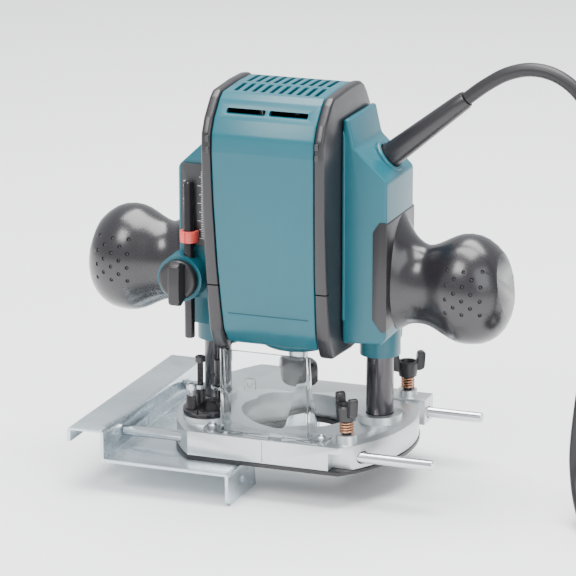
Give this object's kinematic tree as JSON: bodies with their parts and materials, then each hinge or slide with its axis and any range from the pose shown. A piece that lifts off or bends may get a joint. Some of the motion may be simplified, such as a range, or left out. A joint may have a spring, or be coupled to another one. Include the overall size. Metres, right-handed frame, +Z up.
{
  "type": "plunge router",
  "caption": "Compact plunge router: motor head on twin sprung columns, knob handles, cast base, chip shield, depth stop, straight guide on rods, and mains cord.",
  "frame": {"origin": "on the spindle axis, level with the lower edge of the straight guide, the lowest point", "axes": "+X along both columns and handles, towards the cord's side; -Y towards the front panel and chip shield; +Z up along the spindle"},
  "size_m": [0.4195, 0.156, 0.2615],
  "materials": {
    "teal_shell": "satin moulded plastic",
    "black_plastic": "fine textured plastic",
    "black_rubber": "glossy soft rubber",
    "cast_alloy": "satin cast",
    "bright_steel": "polished",
    "dark_steel": "black oxide",
    "zinc_sheet": "zinc plated sheet",
    "clear_plastic": "clear moulded plastic",
    "red_plastic": "moulded",
    "scale_plate": "printed graduations",
    "copper": "drawn wire",
    "carbon": "pressed carbon"
  },
  "bodies": {
    "base": {"base_casting": "cast_alloy", "sole_sheet": "black_plastic", "sole_screw_1": "bright_steel", "sole_screw_2": "bright_steel", "sole_screw_3": "bright_steel", "sole_screw_4": "bright_steel", "left_column": "dark_steel", "right_column": "dark_steel", "left_plunge_spring": "bright_steel", "right_plunge_spring": "bright_steel", "chip_shield": "clear_plastic", "shield_screw_left": "bright_steel", "shield_screw_right": "bright_steel", "limit_rod": "dark_steel", "thumb_spring_front": "copper", "thumb_spring_rear": "copper", "cord_tube": "black_rubber", "cord_coil": "black_rubber", "plug": "black_rubber"},
    "head": {"front_housing": "teal_shell", "rear_housing": "teal_shell", "left_band": "black_rubber", "right_band": "black_rubber", "left_side_housing": "teal_shell", "right_side_housing": "teal_shell", "bearing_nose": "teal_shell", "lower_bearing": "bright_steel", "upper_bearing": "bright_steel", "stator": "dark_steel", "left_brush": "carbon", "right_brush": "carbon", "left_handle": "black_rubber", "right_handle": "black_rubber", "depth_scale": "scale_plate", "cord_guard": "black_rubber", "housing_screw_1": "bright_steel", "housing_screw_2": "bright_steel"},
    "armature": {"spindle": "bright_steel", "rotor_core": "copper", "commutator": "copper", "fan": "black_plastic", "collet": "bright_steel"},
    "nut": {"collet_nut": "dark_steel"},
    "guide": {"straight_guide": "zinc_sheet", "guide_rod_front": "bright_steel", "guide_rod_rear": "bright_steel", "rod_screw_front": "bright_steel", "rod_screw_rear": "bright_steel"},
    "turret": {"stopper_block": "black_plastic"},
    "tall_bolt": {"adjusting_bolt_tall": "dark_steel"},
    "middle_bolt": {"adjusting_bolt_middle": "dark_steel"},
    "pole": {"stopper_pole": "dark_steel"},
    "pointer": {"depth_pointer": "red_plastic"},
    "clamp": {"clamp_knob": "black_plastic"},
    "front_thumb": {"thumb_screw_front": "black_plastic"},
    "rear_thumb": {"thumb_screw_rear": "black_plastic"},
    "stop_nut": {"limit_nut": "black_plastic"},
    "switch": {"switch_slider": "black_plastic"},
    "plunge_lock": {"lock_lever": "black_plastic"},
    "shaft_lock": {"shaft_lock_button": "black_plastic"}
  },
  "joints": [
    {"name": "plunge", "type": "slide", "parent": "base", "child": "head", "axis": [0, 0, 1], "range_m": [-0.035, 0], "stiffness_N_per_m": 1500, "springref_m": 0.03, "deforming": ["left_plunge_spring", "right_plunge_spring"]},
    {"name": "spindle_spin", "type": "hinge", "parent": "head", "child": "armature", "pos_m": [0, 0, 0.1], "axis": [0, 0, 1], "continuous": true},
    {"name": "collet_nut_turn", "type": "hinge", "parent": "armature", "child": "nut", "pos_m": [0, 0, 0.0605], "axis": [0, 0, 1], "range_deg": [0, 720]},
    {"name": "guide_slide", "type": "slide", "parent": "base", "child": "guide", "axis": [1, 0, 0], "range_m": [-0.05, 0.015]},
    {"name": "turret_turn", "type": "hinge", "parent": "base", "child": "turret", "pos_m": [-0.0455, -0.0335, 0.041], "axis": [0, 0, 1], "continuous": true},
    {"name": "tall_bolt_turn", "type": "hinge", "parent": "turret", "child": "tall_bolt", "pos_m": [-0.05198, -0.02655, 0.0705], "axis": [0, 0, 1], "range_deg": [0, 720]},
    {"name": "middle_bolt_turn", "type": "hinge", "parent": "turret", "child": "middle_bolt", "pos_m": [-0.05186, -0.04056, 0.0505], "axis": [0, 0, 1], "range_deg": [0, 720]},
    {"name": "pole_slide", "type": "slide", "parent": "head", "child": "pole", "axis": [0, 0, 1], "range_m": [-0.002, 0.03]},
    {"name": "pointer_slide", "type": "slide", "parent": "pole", "child": "pointer", "axis": [0, 0, 1], "range_m": [-0.003, 0.02]},
    {"name": "clamp_turn", "type": "hinge", "parent": "head", "child": "clamp", "pos_m": [-0.0595, -0.0395, 0.1225], "axis": [0, -1, 0], "range_deg": [0, 270]},
    {"name": "front_thumb_turn", "type": "hinge", "parent": "base", "child": "front_thumb", "pos_m": [0.047, -0.0475, 0.0505], "axis": [0, 0, 1], "range_deg": [0, 720]},
    {"name": "rear_thumb_turn", "type": "hinge", "parent": "base", "child": "rear_thumb", "pos_m": [0.0525, 0.0475, 0.0505], "axis": [0, 0, 1], "range_deg": [0, 720]},
    {"name": "stop_nut_turn", "type": "hinge", "parent": "base", "child": "stop_nut", "pos_m": [-0.0435, -0.015, 0.0605], "axis": [0, 0, 1], "range_deg": [0, 720]},
    {"name": "switch_slide", "type": "slide", "parent": "head", "child": "switch", "axis": [0, 0, 1], "range_m": [0, 0.006]},
    {"name": "plunge_lock_turn", "type": "hinge", "parent": "head", "child": "plunge_lock", "pos_m": [0.051, 0.0203, 0.1145], "axis": [0, -1, 0], "range_deg": [0, 40]},
    {"name": "shaft_lock_press", "type": "slide", "parent": "head", "child": "shaft_lock", "axis": [0, -1, 0], "range_m": [0, 0.0028], "stiffness_N_per_m": 300, "springref_m": -0.004}
  ]
}
